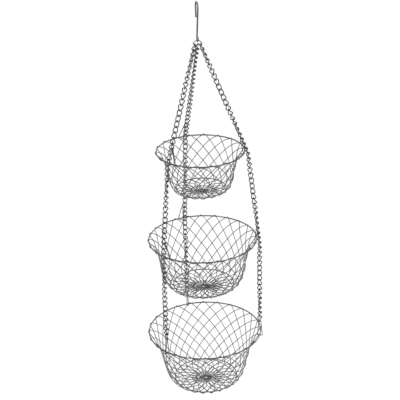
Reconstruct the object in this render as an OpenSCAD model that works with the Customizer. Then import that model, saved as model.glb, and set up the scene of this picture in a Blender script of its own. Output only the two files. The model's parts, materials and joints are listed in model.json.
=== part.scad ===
// Three round wire baskets on three chains, hung one below the other from a long hook.
// The origin is the inside top of the hook, where it rests on a rail. Z points up.

/* [Baskets] */
// Radius of each rim, from the top basket down
rim_r = [87, 109.5, 117]; // [60:0.5:140]
// Depth of each basket's wall
wall_depth = [82, 105, 115]; // [50:1:130]
// Radius of each base
base_r = [51, 63, 67]; // [35:1:80]
// Number of hairpin wires in each net, a multiple of three
net_count = [18, 24, 24]; // [12:3:24]
// How far the middle of a base hangs below its ring
base_sag = [4, 6, 4]; // [0:1:8]
// Height of the top rim above the middle one, and of the middle rim above the bottom one
tier_drop = [191.4, 213]; // [188:0.5:216]

/* [Wires] */
// Wire of the rims
rim_wire = 2.6; // [2:0.1:3]
// Wire of the base rings
base_wire = 2; // [1.6:0.1:2.4]
// Wire of the nets
net_wire = 1.4; // [1:0.1:1.6]
// Wire of the clips
clip_wire = 1.6; // [1.4:0.1:1.7]
// Wire of the hook
hook_wire = 3.2; // [2.6:0.1:3.4]

/* [Chains] */
// Wire of the chain links
chain_wire = 2.1; // [1.8:0.1:2.2]
// Distance from one link to the next
link_pitch = 10.7; // [10.4:0.1:10.8]
// Outer width of a link
link_w = 11.5; // [11:0.1:12]
// Play between two links
link_gap = 0.4; // [0.3:0.05:0.45]
// Twist of a link's ends to either side of its flat
link_twist = 34; // [30:1:38]
// Direction of the right-hand chain, seen from above
leg_turn = -12; // [-20:1:20]

/* [Hook] */
// Radius of the hook's upper and lower bend, to the wire's centre
bend_r = [9, 4.2]; // [4:0.1:12]
// Height of the hook from its inside top to the lower bend's centre
hook_drop = 69.8; // [60:0.1:80]
// Direction that the hook's open side points away from
hook_turn = -77; // [-180:1:180]

/* [Hidden] */
$fn = 24;
LEGS = ["right", "back", "left"];
TIERS = [0, 1, 2];

leg_angle = [for (i = [0:2]) leg_turn + 120 * i];
// Links of the upper, middle and lower chain runs
run_links = [22, 18, 17];
// The link of a run that carries a basket's clip
clip_link = [18, 14];

// The loop under the hook has its three chains side by side on its straight lower side
loop_h = 4.5;
loop_half = 5.6;
loop_gap = link_gap + 0.1;
loop_r = hook_wire / 2 + clip_wire / 2 + link_gap;
loop_top = -hook_drop - bend_r[1];
loop_base = loop_top - loop_h - loop_r;

// A run passes its rim this far outside the rim's centre line
rim_pass = 7.5;
// The point where two links meet lies this far from the next wire's centre
bite = (chain_wire + link_gap) / 2;
link_r = (link_w - chain_wire) / 2;
link_straight = link_pitch + 2 * bite - 2 * link_r;
// How much a link's round ends fall short of a half turn on each side
end_cut = 28;
// Straight that follows, and the distance from the corner after it to the ends of the arc that rounds it
end_straight = 0.3;
corner_in = 1;

// Clips are narrow triangles with round corners, set beside the chain on the first two rims
clip_r = chain_wire / 2 + clip_wire / 2 + link_gap;
clip_half = 2.7;
clip_side = 11.5;
// A clip shares its link with the next link, and hangs beside that link's bend
hang_side = 0.6 * link_r;
hang_drop = link_straight / 2 + 0.72 * link_r;

// How far straight wires reach into their bends
joint_in = 0.15;

// Heights of the rims
upper_run = link_pitch * run_links[0] - (chain_wire + clip_wire) / 2 + bite - loop_gap;
rim_top = loop_base - sqrt(pow(upper_run, 2) - pow(rim_r[0] + rim_pass, 2));
rim_z = [rim_top, rim_top - tier_drop[0], rim_top - tier_drop[0] - tier_drop[1]];

// Net: stations along one leg of a hairpin, and its place on the wall
wall_steps = 7;
base_steps = 3;
net_layer = net_wire / 2;
rim_wrap = (rim_wire + net_wire) / 2 + 0.3;
hairpin_half = 3.5;
crossings = [6.5, 7.5, 9];
base_twist = 24;
centre_wire = 3;
centre_r = 4.2;
net_end = centre_r + centre_wire / 2 + 0.05;

function polar(r, a, z = 0) = [r * cos(a), r * sin(a), z];
function unit(v) = v / norm(v);
function mix(a, b, t) = a + (b - a) * t;
function sum_to(v, n) = n == 0 ? 0 : v[n - 1] + sum_to(v, n - 1);
// Angle about the direction u that turns the local x axis towards w
function roll_to(u, w) = let (t = acos(u.z), a = atan2(u.y, u.x))
    atan2(w * [-sin(a), cos(a), 0], w * [cos(t) * cos(a), cos(t) * sin(a), -sin(t)]);
function turned(u, v, a) = v * cos(a) + cross(u, v) * sin(a);

// Ends of the chain runs of one leg, from the top down
function run_point(leg, n) = n == 0
    ? let (start = [[1, 0, -1][leg] * loop_half, 0, loop_base], end = run_point(leg, 1))
        start + unit(start - end) * ((chain_wire + clip_wire) / 2 + loop_gap - bite)
    : n < 3 ? polar(rim_r[n - 1] + rim_pass, leg_angle[leg], rim_z[n - 1])
    : let (above = run_point(leg, 2), out = rim_r[2] - rim_r[1] - rim_pass)
        above + polar(out, leg_angle[leg], -sqrt(pow(link_pitch * run_links[2], 2) - out * out));
function run_up(leg, n) = unit(run_point(leg, n) - run_point(leg, n + 1));
// Widthways direction of the links where a run passes its rim
function run_flat(leg, n) = unit(cross(run_up(leg, n), polar(1, leg_angle[leg])));
function first_roll(leg) = roll_to(run_up(leg, 0), [0, 1, 0]) + link_twist / 2;
function flat_roll(leg, n) = roll_to(run_up(leg, n), -run_flat(leg, n));
function link_roll(leg, n, i) = let (end = flat_roll(leg, n))
    n == 0 ? mix(first_roll(leg) + [360, 0, 180][leg], end, min(1, i / clip_link[0]))
    : n == 1 ? end - 180 * min(1, i / clip_link[1])
    : end - (180 + link_twist) * i / (run_links[2] - 1);
function link_centre(leg, n, i) =
    mix(run_point(leg, n), run_point(leg, n + 1), (i + 0.5) / run_links[n]);

// A clip's upper corner, round the bottom bend of its link, and its foot on the rim
function clip_top(k, leg) = k == 2
    ? run_point(leg, 3) - run_up(leg, 2) * bite
    : let (up = run_up(leg, k), side = turned(up, run_flat(leg, k), link_twist))
        link_centre(leg, k, clip_link[k]) + side * hang_side - up * hang_drop;
function clip_foot(k, leg) = polar(rim_r[k], clip_angle(k, leg), rim_z[k]);
function clip_angle(k, leg) = leg_angle[leg] + (k == 2 ? 0 : clip_side / rim_r[k] * 180 / PI);
function clip_flat(k, leg) = k == 2
    ? polar(1, leg_angle[leg])
    : turned(run_up(leg, k), run_flat(leg, k), -link_twist);

module toward(p, u, roll = 0) {
    translate(p) rotate([0, acos(u.z), atan2(u.y, u.x)]) rotate(roll) children();
}

// Part of a wire ring in the XZ plane, from one angle to another
module arc(r, wire, from, to) {
    rotate([90, 0, 0]) rotate(from) rotate_extrude(angle = to - from)
        translate([r, 0]) circle(d = wire);
}

module wire_ring(r, wire) {
    rotate_extrude($fn = 96) translate([r, 0]) circle(d = wire);
}

// Straight wire between two bends, a hair thinner, with its ends set into them
module straight(h, wire) {
    translate([0, 0, -joint_in]) cylinder(d = wire - 0.04, h = h + 2 * joint_in);
}

// A triangle of wire with equal round corners, hung from its upper corner's centre
module wire_loop(h, half, r, wire) {
    a = atan2(half, h);
    arc(r, wire, a, 180 - a);
    translate([-half, 0, -h - r]) rotate([0, 90, 0]) straight(2 * half, wire);
    for (side = [0, 1]) mirror([side, 0, 0]) {
        translate([half, 0, -h]) arc(r, wire, -90, a);
        rotate([0, -a, 0]) translate([r, 0, -norm([half, h])]) straight(norm([half, h]), wire);
    }
}

// A curb link: its round ends are twisted opposite ways, and short arcs lead into its slanting sides
module link() {
    arc_end = polar(link_r * cos(end_cut), -link_twist, link_straight / 2 + link_r * sin(end_cut));
    down = polar(sin(end_cut), -link_twist, -cos(end_cut));
    start = arc_end + down * end_straight;
    corner = start + down * corner_in;
    slant = unit([0, -corner.y, -corner.z]);
    bend = acos(down * slant);
    centre = corner + unit(slant - down) * corner_in / sin(bend / 2);
    side_straight = 2 * (norm([corner.y, corner.z]) - corner_in);
    for (turn = [0, 180]) rotate([0, turn, 0]) {
        translate([0, 0, link_straight / 2]) rotate(-link_twist)
            arc(link_r, chain_wire, end_cut, 180 - end_cut);
        for (half_turn = [0, 180]) rotate(half_turn) {
            toward(arc_end, down) straight(end_straight, chain_wire);
            toward(centre, down, roll_to(down, start - centre))
                arc(corner_in / tan(bend / 2), chain_wire, 0, bend);
        }
        toward([corner.x, 0, 0] - slant * side_straight / 2, slant) straight(side_straight, chain_wire);
    }
}

module chain(leg, n, from, to) {
    for (i = [from:to]) toward(link_centre(leg, n, i), run_up(leg, n), link_roll(leg, n, i)) link();
}

module hook() {
    lean = asin((bend_r[0] + bend_r[1]) / (hook_drop - bend_r[0] + hook_wire / 2));
    top = hook_wire / 2 - bend_r[0];
    shank = sqrt(pow(hook_drop + top, 2) - pow(bend_r[0] + bend_r[1], 2));
    free_end = 23;
    color("silver") rotate(hook_turn) {
        translate([0, 0, top]) {
            arc(bend_r[0], hook_wire, -lean, 180);
            translate([-bend_r[0], 0, -free_end]) straight(free_end, hook_wire);
            rotate([0, lean, 0]) translate([bend_r[0], 0, -shank]) straight(shank, hook_wire);
        }
        translate([0, 0, -hook_drop]) arc(bend_r[1], hook_wire, 180 - lean, 470 - lean);
    }
}

module top_loop() {
    color("silver") translate([0, 0, loop_top]) wire_loop(loop_h, loop_half, loop_r, clip_wire);
}

module clip(k, leg) {
    top = clip_top(k, leg);
    up = unit(top - clip_foot(k, leg));
    h = norm(top - clip_foot(k, leg)) + (rim_wire + clip_wire) / 2 + 2 * link_gap - clip_r;
    color("silver") toward(top, up, roll_to(up, clip_flat(k, leg)))
        wire_loop(h, clip_half, clip_r, clip_wire);
}

module rim(k) {
    color("silver") translate([0, 0, rim_z[k]]) wire_ring(rim_r[k], rim_wire);
}

// Half section of a basket, as radius and height: a brim, a steep wall and a nearly flat base
function wall_point(k, t) = let (r = rim_r[k], h = wall_depth[k])
    let (brim = [[0.68, 0.70, 0.72][k] * r, [-0.13, -0.15, -0.2][k] * h])
    let (waist = [[0.84, 0.91, 0.8][k] * r, [-0.81, -0.81, -0.86][k] * h])
    pow(1 - t, 3) * [r, 0] + 3 * t * pow(1 - t, 2) * brim
    + 3 * t * t * (1 - t) * waist + pow(t, 3) * [base_r[k], -h];
function section(k) = concat(
    [for (j = [0:wall_steps]) wall_point(k, j / wall_steps)],
    [for (j = [1:base_steps]) mix([base_r[k], -wall_depth[k]], [net_end, -wall_depth[k] - base_sag[k]],
        j / base_steps)]
);
function normal(s, j) = let (d = s[j + 1] - s[j]) unit([-d.y, d.x]);
// Offset of one unit out of the wall at a station, mitred where the section bends
function outward(s, j) = let (n = normal(s, max(j - 1, 0)), m = normal(s, min(j, len(s) - 2)))
    (n + m) / (1 + n * m);
// How far a hairpin's leg has turned round the basket at each station
function advance(k, s, j) = let (steps = [for (i = [0:wall_steps - 1]) norm(s[i + 1] - s[i])])
    crossings[k] * 180 / net_count[k] * sum_to(steps, min(j, wall_steps)) / sum_to(steps, wall_steps)
    + base_twist * sin(90 * max(0, j - wall_steps) / base_steps);
function on_wall(p, a, z) = [p.x * cos(a), p.x * sin(a), p.y + z];

// One leg of a hairpin: each entry is a point and the way its section faces
function leg_path(k, a, side) = let (s = section(k), half = hairpin_half / rim_r[k] * 180 / PI)
    [for (j = [0:len(s) - 1])
        let (n = outward(s, j) * side, turn = a + side * (half + advance(k, s, j)))
        [on_wall(s[j] + n * (j == 0 ? rim_wrap : net_layer), turn, rim_z[k]), on_wall(unit(n), turn, 0)]];
// The bend over the rim
function bend_path(k, a) = let (s = section(k), n = outward(s, 0), half = hairpin_half / rim_r[k] * 180 / PI)
    [for (j = [1:3]) let (d = polar(1, atan2(n.y, n.x) + 45 * j), turn = a + half * (1 - j / 2))
        [on_wall(s[0] + [d.x, d.y] * rim_wrap, turn, rim_z[k]), on_wall([d.x, d.y], turn, 0)]];
function reversed(v) = [for (i = [len(v) - 1:-1:0]) v[i]];
function hairpin_path(k, a) = concat(reversed(leg_path(k, a, 1)), bend_path(k, a), leg_path(k, a, -1));

// A square wire of the round wire's area along a path
module wire_along(path, wire) {
    n = len(path);
    corner = wire * sqrt(PI / 8);
    points = [for (i = [0:n - 1]) let (
        t = unit(path[min(i + 1, n - 1)][0] - path[max(i - 1, 0)][0]),
        u = unit(path[i][1] - t * (path[i][1] * t)),
        v = cross(t, u))
        for (a = [45:90:315]) path[i][0] + corner * (u * cos(a) + v * sin(a))];
    sides = [for (i = [0:n - 2], j = [0:3]) each [
        [4 * i + j, 4 * i + (j + 1) % 4, 4 * i + 4 + j],
        [4 * i + (j + 1) % 4, 4 * i + 4 + (j + 1) % 4, 4 * i + 4 + j]]];
    polyhedron(points, concat([[3, 2, 1, 0]], sides, [[4 * n - 4, 4 * n - 3, 4 * n - 2, 4 * n - 1]]));
}

module net(k) {
    pitch = 360 / net_count[k];
    color("lightgray") for (i = [0:net_count[k] - 1])
        wire_along(hairpin_path(k, clip_angle(k, 0) + pitch * (i + 0.5)), net_wire);
}

module base_ring(k) {
    n = outward(section(k), wall_steps);
    inset = net_layer + (net_wire + base_wire) / 2;
    color("silver") translate([0, 0, rim_z[k] - wall_depth[k] - n.y * inset])
        wire_ring(base_r[k] - n.x * inset, base_wire);
}

module centre_ring(k) {
    color("silver") translate([0, 0, rim_z[k] - wall_depth[k] - base_sag[k]])
        wire_ring(centre_r, centre_wire);
}

hook();
top_loop();
for (leg = [0:2]) {
    color("darkgray") chain(leg, 0, 0, run_links[0] - 1);
    color("darkgray") chain(leg, 1, 0, clip_link[1] - 1);
    color("darkgray") chain(leg, 1, clip_link[1], run_links[1] - 1);  // rim_links
    color("darkgray") chain(leg, 2, 0, run_links[2] - 1);
    for (k = TIERS)
        clip(k, leg);
}
for (k = TIERS) {
    rim(k);
    net(k);
    base_ring(k);
    centre_ring(k);
}
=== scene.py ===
import json
import math
import random

import bmesh
import bpy
from mathutils import Matrix, Vector


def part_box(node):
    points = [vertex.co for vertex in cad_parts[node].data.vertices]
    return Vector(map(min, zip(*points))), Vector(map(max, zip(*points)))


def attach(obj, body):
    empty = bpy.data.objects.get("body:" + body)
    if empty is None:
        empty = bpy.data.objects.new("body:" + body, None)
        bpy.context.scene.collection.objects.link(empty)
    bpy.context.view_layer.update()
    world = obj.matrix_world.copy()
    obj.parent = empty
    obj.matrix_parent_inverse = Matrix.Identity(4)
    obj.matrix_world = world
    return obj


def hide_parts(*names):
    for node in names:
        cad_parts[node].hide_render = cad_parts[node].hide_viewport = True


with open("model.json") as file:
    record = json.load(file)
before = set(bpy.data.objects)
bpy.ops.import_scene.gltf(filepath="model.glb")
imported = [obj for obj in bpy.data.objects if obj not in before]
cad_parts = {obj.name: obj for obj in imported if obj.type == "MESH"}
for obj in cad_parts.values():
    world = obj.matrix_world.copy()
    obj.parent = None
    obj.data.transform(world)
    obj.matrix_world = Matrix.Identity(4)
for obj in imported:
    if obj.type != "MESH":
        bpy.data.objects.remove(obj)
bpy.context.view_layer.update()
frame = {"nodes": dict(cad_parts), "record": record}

print("frame loaded:", len(frame["nodes"]), "pieces")


# Shader graphs as expressions

class Sock:
    def __init__(self, graph, socket):
        self.graph = graph
        self.socket = socket

    def maths(self, operation, other):
        return self.graph.add("ShaderNodeMath", {"operation": operation}, [self, other])

    def flipped(self, operation, other):
        return self.graph.add("ShaderNodeMath", {"operation": operation}, [other, self])

    def __add__(self, other): return self.maths("ADD", other)
    def __radd__(self, other): return self.maths("ADD", other)
    def __sub__(self, other): return self.maths("SUBTRACT", other)
    def __rsub__(self, other): return self.flipped("SUBTRACT", other)
    def __mul__(self, other): return self.maths("MULTIPLY", other)
    def __rmul__(self, other): return self.maths("MULTIPLY", other)


class Graph:
    def __init__(self, owner, output="ShaderNodeOutputMaterial"):
        self.owner = owner
        owner.use_nodes = True
        self.tree = owner.node_tree
        self.tree.nodes.clear()
        self.output = self.tree.nodes.new(output)

    def add(self, kind, settings=None, values=None, out=0):
        node = self.tree.nodes.new(kind)
        for key, value in (settings or {}).items():
            setattr(node, key, value)
        pairs = values.items() if isinstance(values, dict) else enumerate(values or [])
        for key, value in pairs:
            self.join(value, node.inputs[key])
        return Sock(self, node.outputs[out])

    def join(self, value, socket):
        if isinstance(value, Sock):
            self.tree.links.new(value.socket, socket)
        else:
            socket.default_value = value

    def noise(self, size, detail, roughness=0.5):
        where = self.add("ShaderNodeTexCoord", out="Object")
        return self.add("ShaderNodeTexNoise", {}, {
            "Vector": where, "Scale": 1 / size, "Detail": detail, "Roughness": roughness})

    def between(self, value, limits):
        return self.add("ShaderNodeMapRange", {"clamp": True}, {
            "Value": value, "From Min": limits[0], "From Max": limits[1]})

    def colours(self, factor, first, second):
        mix = self.tree.nodes.new("ShaderNodeMix")
        mix.data_type = "RGBA"
        self.join(factor, mix.inputs[0])
        self.join(first, mix.inputs[6])
        self.join(second, mix.inputs[7])
        return Sock(self, mix.outputs[2])

    def finish(self, shader):
        self.join(shader, self.output.inputs["Surface"])
        return self.owner


# Plating: clouded metal with fine dull specks; the base colours are painted far darker than bright chrome, a
# painted reflection of dark surroundings

def plated(name, finish):
    graph = Graph(bpy.data.materials.new(name))
    cloud = graph.between(graph.noise(finish["cloudSize"], 2.0), finish["cloudRange"])
    speck = graph.between(graph.noise(finish["speckSize"], 4.0, 0.6), finish["speckRange"])
    grain = graph.noise(finish["grainSize"], 2.0)
    clean = 1 - speck * finish["speckAmount"]
    plate = graph.colours(cloud, finish["dark"], finish["light"])
    bump = graph.add("ShaderNodeBump", {}, {
        "Strength": finish["bump"], "Distance": finish["bumpDepth"], "Height": grain * 0.5 + cloud * 0.5})
    shader = graph.add("ShaderNodeBsdfPrincipled", {}, {
        "Base Color": graph.colours(clean, finish["dull"], plate),
        "Metallic": 1.0,
        "Roughness": speck * finish["speckRough"] + cloud * finish["cloudRough"] + finish["rough"],
        "Normal": bump,
    })
    return graph.finish(shader)


# Base colours far darker than bright chrome: a painted reflection of dark surroundings; cloud and specks vary the
# tone at random
chromeFinishPaintedDark = {
    "dark": (0.09, 0.092, 0.098, 1), "light": (0.19, 0.193, 0.20, 1), "dull": (0.06, 0.059, 0.057, 1),
    "cloudSize": 0.02, "cloudRange": (0.35, 0.65), "cloudRough": 0.06,
    "speckSize": 0.0014, "speckRange": (0.52, 0.74), "speckAmount": 0.5, "speckRough": 0.2,
    "grainSize": 0.0006, "rough": 0.13, "bump": 0.08, "bumpDepth": 0.0002,
}
# Rim, chain and clip copies carry darker painted base colours, darkest on the clips; the net keeps the painted
# dark chrome tone with rougher gloss
rimFinishPaintedDarker = {"dark": (0.07, 0.071, 0.076, 1), "light": (0.15, 0.152, 0.158, 1)}
netFinishPaintedDark = {"dark": (0.09, 0.091, 0.096, 1), "light": (0.19, 0.192, 0.198, 1), "rough": 0.2}
chainFinishPaintedDarker = {"dark": (0.055, 0.056, 0.06, 1), "light": (0.13, 0.132, 0.137, 1), "rough": 0.18}
clipFinishPaintedDarker = {"dark": (0.04, 0.041, 0.044, 1), "light": (0.10, 0.102, 0.106, 1)}
# Every wire material carries the painted dark base colours, a painted reflection of dark surroundings
finishes = {
    "hook_wire": plated("hookChromePaintedDark", chromeFinishPaintedDark),
    "rim_wire": plated("rimChromePaintedDarker", {**chromeFinishPaintedDark, **rimFinishPaintedDarker}),
    "net_wire": plated("netChromePaintedDark", {**chromeFinishPaintedDark, **netFinishPaintedDark}),
    "chain_wire": plated("chainChromePaintedDarker", {**chromeFinishPaintedDark, **chainFinishPaintedDarker}),
    "clip_wire": plated("clipChromePaintedDarker", {**chromeFinishPaintedDark, **clipFinishPaintedDarker}),
}
slotOf = {entry["node"]: entry["material_slot"] for entry in frame["record"]["subparts"]}
for node, piece in frame["nodes"].items():
    piece.data.materials.clear()
    piece.data.materials.append(finishes[slotOf[node]])
    for polygon in piece.data.polygons:
        polygon.use_smooth = True
print("finishes on", len(finishes), "slots")


def meshPiece(name, mesh):
    bmesh.ops.recalc_face_normals(mesh, faces=mesh.faces)
    for face in mesh.faces:
        face.smooth = True
    data = bpy.data.meshes.new(name)
    mesh.to_mesh(data)
    mesh.free()
    piece = bpy.data.objects.new(name, data)
    bpy.context.collection.objects.link(piece)
    return piece


# Bent wire: a round rod, drawn out along its straights and spun through its bends

class BentWire:
    def __init__(self, radius, start, heading, across, sides=16):
        self.mesh = bmesh.new()
        self.radius = radius
        self.at, self.heading, self.across = Vector(start), Vector(heading), Vector(across)
        ring = bmesh.ops.create_circle(self.mesh, cap_ends=False, segments=sides, radius=radius)
        turn = self.heading.to_track_quat("Z", "Y").to_matrix().to_4x4()
        bmesh.ops.transform(self.mesh, matrix=Matrix.Translation(self.at) @ turn, verts=ring["verts"])
        self.first = self.end = list(self.mesh.edges)

    def straight(self, length):
        drawn = bmesh.ops.extrude_edge_only(self.mesh, edges=self.end)["geom"]
        corners = [part for part in drawn if isinstance(part, bmesh.types.BMVert)]
        bmesh.ops.translate(self.mesh, verts=corners, vec=self.heading * length)
        edges = [part for part in drawn if isinstance(part, bmesh.types.BMEdge)]
        self.end = [edge for edge in edges if all(corner in corners for corner in edge.verts)]
        self.at += self.heading * length

    def bend(self, bendRadius, angle, steps):
        axis = self.across if angle > 0 else -self.across
        centre = self.at + axis.cross(self.heading) * bendRadius
        spun = bmesh.ops.spin(self.mesh, geom=self.end, cent=centre, axis=axis, angle=abs(angle), steps=steps)
        self.end = [part for part in spun["geom_last"] if isinstance(part, bmesh.types.BMEdge)]
        turn = Matrix.Rotation(abs(angle), 3, axis)
        self.at = centre + turn @ (self.at - centre)
        self.heading = turn @ self.heading

    def finish(self, name, rounding):
        for ring in (self.first, self.end):
            bmesh.ops.edgeloop_fill(self.mesh, edges=ring)
            bmesh.ops.bevel(self.mesh, geom=ring, offset=self.radius * rounding, offset_type="OFFSET", segments=4,
                            profile=0.5, affect="EDGES", clamp_overlap=True, material=-1)
        return meshPiece(name, self.mesh)


hook = {
    "radius": 0.0016, "topBend": 0.009, "topSteps": 28, "eyeBend": 0.0042, "eyeTurn": 290, "eyeSteps": 30,
    "drop": 0.0698, "freeEnd": 0.023, "turn": -77, "endRounding": 0.85,
}
topHeight = hook["radius"] - hook["topBend"]
fall = hook["drop"] + topHeight  # from the middle of the top bend to the middle of the eye
spread = hook["topBend"] + hook["eyeBend"]
lean = math.asin(spread / fall)
facing = Matrix.Rotation(math.radians(hook["turn"]), 3, "Z")
tip = facing @ Vector((-hook["topBend"], 0, topHeight - hook["freeEnd"]))
rod = BentWire(hook["radius"], tip, (0, 0, 1), facing @ Vector((0, 1, 0)))
rod.straight(hook["freeEnd"])
rod.bend(hook["topBend"], math.pi + lean, hook["topSteps"])
rod.straight(math.sqrt(fall**2 - spread**2))
rod.bend(hook["eyeBend"], -math.radians(hook["eyeTurn"]), hook["eyeSteps"])
piece = rod.finish("hangingHook", hook["endRounding"])
piece.data.materials.append(finishes["hook_wire"])
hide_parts("hook")
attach(piece, "hanger")
print("hook bent")


# Wire nets: hairpins hung over the rim, whose legs spiral down both faces of the wall,
# come together in pairs on the base, run in as rays and part again in the close disc

nets = [
    {"body": "top_basket", "rimRadius": 0.087, "depth": 0.082, "baseRadius": 0.051, "sag": 0.004,
     "brim": (0.68, 0.13), "waist": (0.84, 0.81), "wires": 18, "rows": 6.5},
    {"body": "middle_basket", "rimRadius": 0.1095, "depth": 0.105, "baseRadius": 0.063, "sag": 0.006,
     "brim": (0.70, 0.15), "waist": (0.91, 0.81), "wires": 24, "rows": 7.5},
    {"body": "bottom_basket", "rimRadius": 0.117, "depth": 0.115, "baseRadius": 0.067, "sag": 0.004,
     "brim": (0.72, 0.20), "waist": (0.80, 0.86), "wires": 24, "rows": 9},
]
netWire = {
    "radius": 0.00078, "layer": 0.0007,  # half the distance between the two layers
    "wrap": 0.0019, "wrapSteps": 12, "settleLength": 0.006, "halfBend": 0.0035,
    "clipTurn": -12, "clipSide": 0.0115, "leastTwist": 15, "sway": 0.004, "swayShift": 0.5,
    "rayRadius": 0.029, "discRadius": 0.020, "discBlend": 0.004, "centreRadius": 0.0058,
    "cornerRound": 3, "wallSteps": 30, "baseSteps": 20, "smoothness": 2, "seed": 7,
}


def wallSection(net):
    rimRadius, depth = net["rimRadius"], net["depth"]
    rim = Vector((rimRadius, 0))
    brim = Vector((rimRadius * net["brim"][0], -depth * net["brim"][1]))
    waist = Vector((rimRadius * net["waist"][0], -depth * net["waist"][1]))
    corner = Vector((net["baseRadius"], -depth))
    middle = Vector((netWire["centreRadius"], -depth - net["sag"]))
    points = []
    for step in range(netWire["wallSteps"] + 1):
        t = step / netWire["wallSteps"]
        u = 1 - t
        points.append(rim * u**3 + brim * 3 * t * u * u + waist * 3 * t * t * u + corner * t**3)
    for step in range(1, netWire["baseSteps"] + 1):
        points.append(corner.lerp(middle, step / netWire["baseSteps"]))
    for turn in range(netWire["cornerRound"]):  # rounds the turn from wall to base
        rounded = [points[0]]
        for before, here, after in zip(points, points[1:], points[2:]):
            rounded.append((before + here * 2 + after) / 4)
        points = rounded + [points[-1]]
    return points


def eased(value):
    value = min(1.0, max(0.0, value))
    return value * value * (3 - 2 * value)


def settled(value):  # even at first, and easing off over the last fifth
    value = min(1.0, max(0.0, value))
    return value / 0.9 if value < 0.8 else 1 - (1 - value)**2 / 0.36


def hairpin(net, section, start, wobble):
    wallCount = netWire["wallSteps"]
    lengths = [0.0]
    for before, after in zip(section, section[1:]):
        lengths.append(lengths[-1] + (after - before).length)
    half = netWire["halfBend"] / net["rimRadius"]
    slot = math.pi / net["wires"]
    wallTurn = half + net["rows"] * slot
    paired = math.ceil((wallTurn + math.radians(netWire["leastTwist"])) / slot) * slot
    legs = []
    for side in (1, -1):
        leg = []
        for place, point in enumerate(section):
            ahead = section[min(place + 1, len(section) - 1)] - section[max(place - 1, 0)]
            out = Vector((-ahead.y, ahead.x)).normalized() * side
            rise = min(1.0, lengths[place] / netWire["settleLength"])  # from the wrap on the rim to the wall
            spot = point + out * (netWire["wrap"] * (1 - rise) + netWire["layer"] * rise)
            advance = net["rows"] * slot * min(1.0, lengths[place] / lengths[wallCount])
            if place > wallCount:
                inward = (net["baseRadius"] - point.x) / (net["baseRadius"] - netWire["rayRadius"])
                advance += (paired - wallTurn) * settled(inward)
                advance += slot / 2 * eased((netWire["discRadius"] - point.x) / netWire["discBlend"] + 0.5)
            sway = wobble[0] * math.sin(math.pi * min(1.0, place / wallCount) + wobble[1]) * netWire["sway"]
            leg.append((spot, start + side * (half + advance) + sway))
        legs.append(leg)
    ahead = section[1] - section[0]
    out = math.atan2(ahead.x, -ahead.y)
    wrap = []
    for step in range(1, netWire["wrapSteps"]):
        share = step / netWire["wrapSteps"]
        angle = out + math.pi * share
        reach = Vector((math.cos(angle), math.sin(angle))) * netWire["wrap"]
        wrap.append((section[0] + reach, start + half * (1 - 2 * share)))
    path = legs[0][::-1] + wrap + legs[1]
    return [(spot.x * math.cos(turn), spot.x * math.sin(turn), spot.y) for spot, turn in path]


def wireCurve(name, runs):
    curve = bpy.data.curves.new(name, "CURVE")
    curve.dimensions = "3D"
    curve.bevel_depth = netWire["radius"]
    curve.bevel_resolution = netWire["smoothness"]
    curve.use_fill_caps = True
    for run in runs:
        spline = curve.splines.new("POLY")
        spline.points.add(len(run) - 1)
        for point, place in zip(spline.points, run):
            point.co = (*place, 1)
        spline.use_smooth = True
    piece = bpy.data.objects.new(name, curve)
    bpy.context.collection.objects.link(piece)
    return piece


discRing = {"radius": 0.0006, "sink": 0.0003, "sides": 10, "steps": 64}  # lies on the rays, round the close disc


def ringOnBase(name, net, height):
    inward = (net["baseRadius"] - netWire["discRadius"]) / (net["baseRadius"] - netWire["centreRadius"])
    level = height - net["depth"] - net["sag"] * inward + netWire["layer"] + netWire["radius"]
    level += discRing["radius"] - discRing["sink"]
    mesh = bmesh.new()
    section = bmesh.ops.create_circle(mesh, cap_ends=False, segments=discRing["sides"], radius=discRing["radius"])
    upright = Matrix.Translation((netWire["discRadius"], 0, level)) @ Matrix.Rotation(math.pi / 2, 4, "X")
    bmesh.ops.transform(mesh, matrix=upright, verts=section["verts"])
    bmesh.ops.spin(mesh, geom=list(mesh.edges), cent=(0, 0, level), axis=(0, 0, 1), angle=2 * math.pi,
                   steps=discRing["steps"], use_merge=True)
    return meshPiece(name, mesh)


draw = random.Random(netWire["seed"])
for tier, net in enumerate(nets, 1):
    low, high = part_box("rim_%d" % tier)
    height = (low.z + high.z) / 2
    section = wallSection(net)
    clipAngle = math.radians(netWire["clipTurn"]) + netWire["clipSide"] / net["rimRadius"]
    runs = []
    for number in range(net["wires"]):
        wobble = (draw.uniform(-1, 1), draw.uniform(-netWire["swayShift"], netWire["swayShift"]))
        run = hairpin(net, section, clipAngle + (number + 0.5) * 2 * math.pi / net["wires"], wobble)
        runs.append([(x, y, z + height) for x, y, z in run])
    wires = wireCurve("wireNet%d" % tier, runs)
    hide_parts("net_%d" % tier)
    for piece in (wires, ringOnBase("discRing%d" % tier, net, height)):
        piece.data.materials.append(finishes["net_wire"])
        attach(piece, net["body"])
print("nets made:", sum(net["wires"] for net in nets), "hairpins")


# Studio: pale floor, white backdrop, soft lamps

studio = {"floorDrop": 1.25, "floorSize": 40, "floorColour": (0.9, 0.9, 0.9, 1), "floorGlow": 0.94,
          "white": (1, 1, 1, 1), "backdrop": 1.04, "room": 0.55, "middle": (0, 0, -0.42)}
lamps = [
    {"name": "keyLamp", "at": (-1.6, -1.8, 1.2), "size": 1.2, "power": 28},
    {"name": "fillLamp", "at": (1.9, -1.2, 0.2), "size": 1.4, "power": 12},
    {"name": "rearLamp", "at": (0.6, 1.8, 1.0), "size": 1.2, "power": 14},
]


def seenRays(graph):
    path = "ShaderNodeLightPath"
    glossy = graph.add(path, out="Is Glossy Ray")
    through = graph.add(path, out="Is Transmission Ray")
    return graph.add(path, out="Is Camera Ray").maths("MAXIMUM", glossy).maths("MAXIMUM", through)


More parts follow.
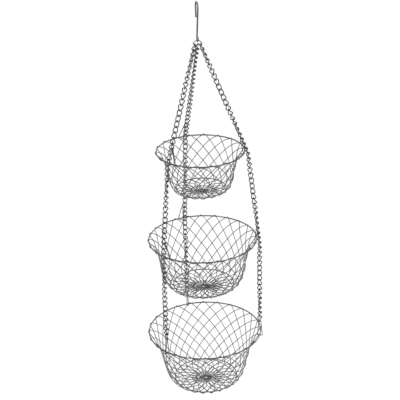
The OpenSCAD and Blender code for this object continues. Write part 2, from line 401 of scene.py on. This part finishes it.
ground = Graph(bpy.data.materials.new("whiteFloor"))
matt = ground.add("ShaderNodeBsdfDiffuse", {}, {"Color": studio["floorColour"]})
glow = ground.add("ShaderNodeEmission", {}, {"Color": studio["white"], "Strength": studio["backdrop"]})
ground.finish(ground.add("ShaderNodeMixShader", {}, [seenRays(ground) * studio["floorGlow"], matt, glow]))

floorMesh = bmesh.new()
bmesh.ops.create_grid(floorMesh, x_segments=1, y_segments=1, size=studio["floorSize"] / 2)
bmesh.ops.translate(floorMesh, verts=floorMesh.verts, vec=(0, 0, -studio["floorDrop"]))
floorData = bpy.data.meshes.new("floor")
floorMesh.to_mesh(floorData)
floorMesh.free()
floor = bpy.data.objects.new("floor", floorData)
floor.data.materials.append(ground.owner)
bpy.context.collection.objects.link(floor)

scene = bpy.context.scene
air = Graph(bpy.data.worlds.new("studio"), "ShaderNodeOutputWorld")
room = air.add("ShaderNodeBackground", {}, {"Color": studio["white"], "Strength": studio["room"]})
backdrop = air.add("ShaderNodeBackground", {}, {"Color": studio["white"], "Strength": studio["backdrop"]})
scene.world = air.finish(air.add("ShaderNodeMixShader", {}, [seenRays(air), room, backdrop]))

for lamp in lamps:
    light = bpy.data.lights.new(lamp["name"], "AREA")
    light.shape = "DISK"
    light.size = lamp["size"]
    light.energy = lamp["power"]
    holder = bpy.data.objects.new(lamp["name"], light)
    holder.location = lamp["at"]
    inward = Vector(studio["middle"]) - Vector(lamp["at"])
    holder.rotation_euler = inward.to_track_quat("-Z", "Y").to_euler()
    bpy.context.collection.objects.link(holder)

view = {"focal": 1150, "frame": 400, "sensor": 36, "pitch": 24.0, "roll": -1.5, "at": (-0.0032, -2.102, 0.5341)}
camera = bpy.data.objects.new("camera", bpy.data.cameras.new("camera"))
camera.data.sensor_width = view["sensor"]
camera.data.lens = view["focal"] / view["frame"] * view["sensor"]
tilt = Matrix.Rotation(math.radians(90 - view["pitch"]), 4, "X")
camera.matrix_world = Matrix.Translation(view["at"]) @ tilt @ Matrix.Rotation(math.radians(view["roll"]), 4, "Z")
bpy.context.collection.objects.link(camera)
scene.camera = camera
scene.view_settings.view_transform = "Standard"
print("studio set")
